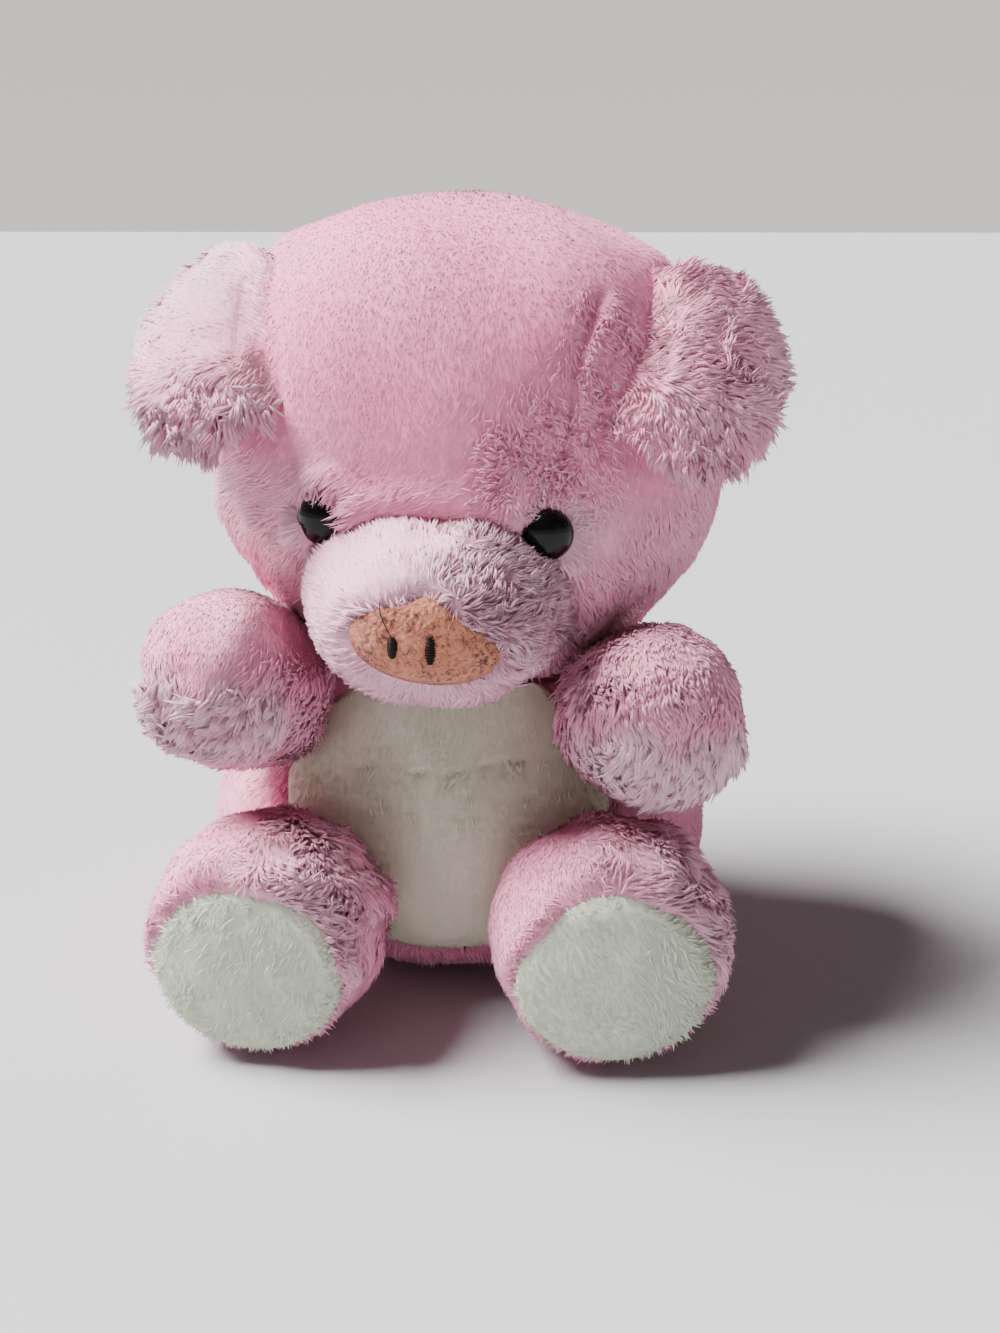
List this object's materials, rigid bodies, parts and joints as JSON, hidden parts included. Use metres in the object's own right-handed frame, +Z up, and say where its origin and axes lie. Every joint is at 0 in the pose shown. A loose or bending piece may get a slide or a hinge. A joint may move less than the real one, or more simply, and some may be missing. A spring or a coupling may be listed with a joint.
{
  "type": "plush pig",
  "caption": "Sitting stuffed pig in clumped pile cloth with a domed muzzle, folded ears, stub arms, cream belly and soles; its limbs and head give at the seams.",
  "frame": {"origin": "on the ground at the middle of the flat seat, under the middle of the body", "axes": "+Z up, -Y the way the face looks, +X to the viewer's right when seen from the front"},
  "size_m": [0.145, 0.1511, 0.1879],
  "materials": {
    "pink_plush": "matte clumped pile",
    "pale_plush": "matte clumped pile",
    "cream_plush": "matte clumped pile",
    "sole_plush": "matte short pile",
    "snout_suede": "matte suede-like cloth",
    "dark_thread": "satin stitched thread",
    "black_gloss": "polished",
    "white_plastic": "satin",
    "filling": "loose fibre",
    "ballast_cloth": "plain weave",
    "seam_tape": "plain weave"
  },
  "bodies": {
    "torso": {"torso_skin": "pink_plush", "belly_panel": "cream_plush", "torso_stuffing": "filling", "pellet_pouch": "ballast_cloth"},
    "neck": {"neck_seam_band": "seam_tape"},
    "head": {"head_skin": "pink_plush", "head_stuffing": "filling", "muzzle_panel": "pale_plush", "muzzle_stuffing": "filling", "snout_patch": "snout_suede", "nostril_left": "dark_thread", "nostril_right": "dark_thread", "eye_left": "black_gloss", "eye_right": "black_gloss", "eye_washer_left": "white_plastic", "eye_washer_right": "white_plastic"},
    "ear_left": {"ear_left_front": "pink_plush", "ear_left_back": "pink_plush"},
    "ear_right": {"ear_right_front": "pink_plush", "ear_right_back": "pink_plush"},
    "arm_left": {"arm_skin_left": "pink_plush", "arm_stuffing_left": "filling"},
    "arm_right": {"arm_skin_right": "pink_plush", "arm_stuffing_right": "filling"},
    "leg_left": {"leg_skin_left": "pink_plush", "leg_stuffing_left": "filling", "sole_left": "sole_plush"},
    "leg_right": {"leg_skin_right": "pink_plush", "leg_stuffing_right": "filling", "sole_right": "sole_plush"},
    "tail": {"tail": "pink_plush"}
  },
  "joints": [
    {"name": "neck_turn", "type": "hinge", "parent": "torso", "child": "neck", "pos_m": [0.003, 0.003, 0.127], "axis": [0, 0, 1], "range_deg": [-7, 7], "stiffness_Nm_per_rad": 0.15},
    {"name": "head_nod", "type": "hinge", "parent": "neck", "child": "head", "pos_m": [0.003, 0.003, 0.127], "axis": [1, 0, 0], "range_deg": [-10, 3], "stiffness_Nm_per_rad": 0.15},
    {"name": "ear_flap_left", "type": "hinge", "parent": "head", "child": "ear_left", "pos_m": [-0.04367, -0.03552, 0.15691], "axis": [-0.0321, 0.6728, 0.7391], "range_deg": [0, 45], "stiffness_Nm_per_rad": 0.01},
    {"name": "ear_flap_right", "type": "hinge", "parent": "head", "child": "ear_right", "pos_m": [0.04705, -0.04107, 0.15295], "axis": [-0.1779, -0.66, -0.7299], "range_deg": [0, 45], "stiffness_Nm_per_rad": 0.01},
    {"name": "arm_swing_left", "type": "hinge", "parent": "torso", "child": "arm_left", "pos_m": [-0.04297, -0.0162, 0.06703], "axis": [0, 0, -1], "range_deg": [-2, 35], "stiffness_Nm_per_rad": 0.02},
    {"name": "arm_swing_right", "type": "hinge", "parent": "torso", "child": "arm_right", "pos_m": [0.04297, -0.0162, 0.06703], "axis": [0, 0, 1], "range_deg": [-2, 35], "stiffness_Nm_per_rad": 0.02},
    {"name": "leg_swing_left", "type": "hinge", "parent": "torso", "child": "leg_left", "pos_m": [-0.03649, -0.04351, 0.02664], "axis": [0, 0, -1], "range_deg": [-4, 15], "stiffness_Nm_per_rad": 0.03},
    {"name": "leg_swing_right", "type": "hinge", "parent": "torso", "child": "leg_right", "pos_m": [0.03649, -0.04351, 0.02664], "axis": [0, 0, 1], "range_deg": [-4, 15], "stiffness_Nm_per_rad": 0.03},
    {"name": "tail_wag", "type": "hinge", "parent": "torso", "child": "tail", "pos_m": [0, 0.04955, 0.03417], "axis": [0, 0, 1], "range_deg": [-20, 20], "stiffness_Nm_per_rad": 0.005}
  ]
}
